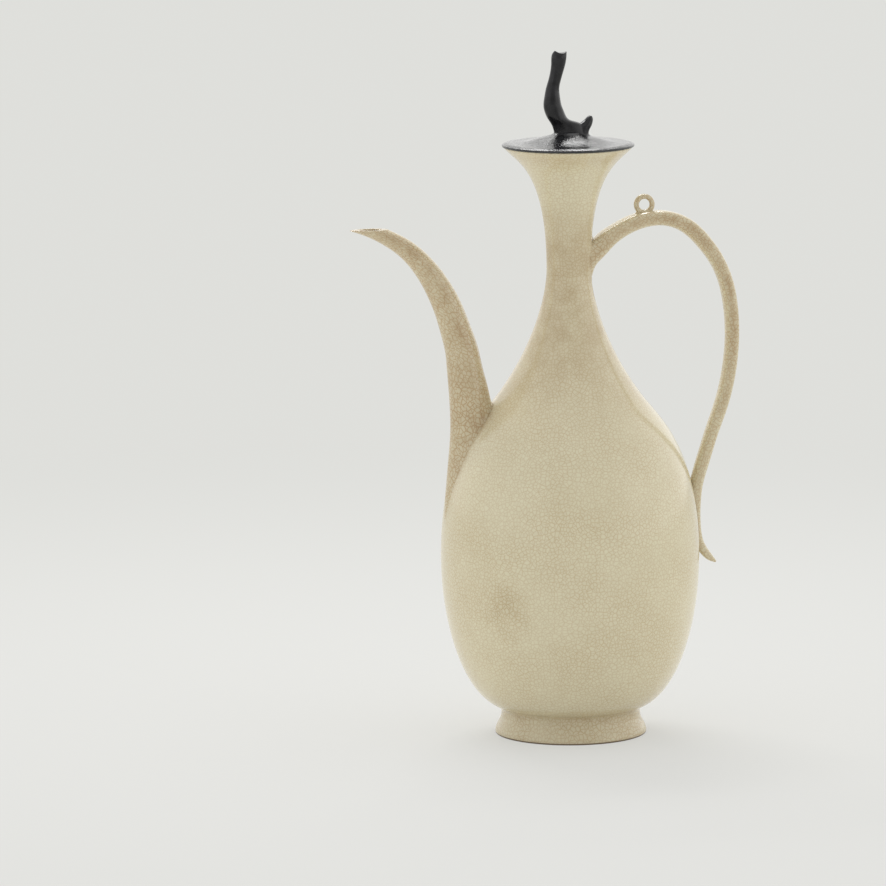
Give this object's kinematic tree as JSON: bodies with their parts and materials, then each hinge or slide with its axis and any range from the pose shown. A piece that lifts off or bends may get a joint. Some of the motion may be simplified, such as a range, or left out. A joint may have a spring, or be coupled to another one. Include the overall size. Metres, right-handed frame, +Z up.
{
  "type": "water ewer",
  "caption": "Tall crackle-glazed ceramic water ewer with a curved spout, an arched handle with a cord ring, a waisted neck and a black lid with a flame-shaped finial.",
  "frame": {"origin": "on the standing surface, under the middle of the whole ewer's length and width; the pot's turning axis stands at x = +11.7 mm, y = 0", "axes": "+Z up along the pot's turning axis, -X the way the spout points, +X the way the handle stands, +Y square to the handle and spout"},
  "size_m": [0.1854, 0.1206, 0.32],
  "materials": {
    "cream_glaze": "glossy cream glaze with fine brown crackle",
    "black_glaze": "glossy black glaze with a fine orange-peel surface",
    "satin_black_glaze": "satin black glaze"
  },
  "bodies": {
    "pot": {"foot_ring": "cream_glaze", "body": "cream_glaze", "shoulder": "cream_glaze", "neck": "cream_glaze", "mouth": "cream_glaze", "spout": "cream_glaze", "handle": "cream_glaze", "cord_ring": "cream_glaze"},
    "lid_guide": {"lid_flange": "black_glaze"},
    "lid_top": {"lid_plate": "black_glaze", "finial": "satin_black_glaze"}
  },
  "joints": [
    {"name": "lid_lift", "type": "slide", "parent": "pot", "child": "lid_guide", "axis": [0, 0, 1], "range_m": [0, 0.06]},
    {"name": "lid_turn", "type": "hinge", "parent": "lid_guide", "child": "lid_top", "pos_m": [0.0117, 0, 0.2753], "axis": [0, 0, 1], "continuous": true}
  ]
}
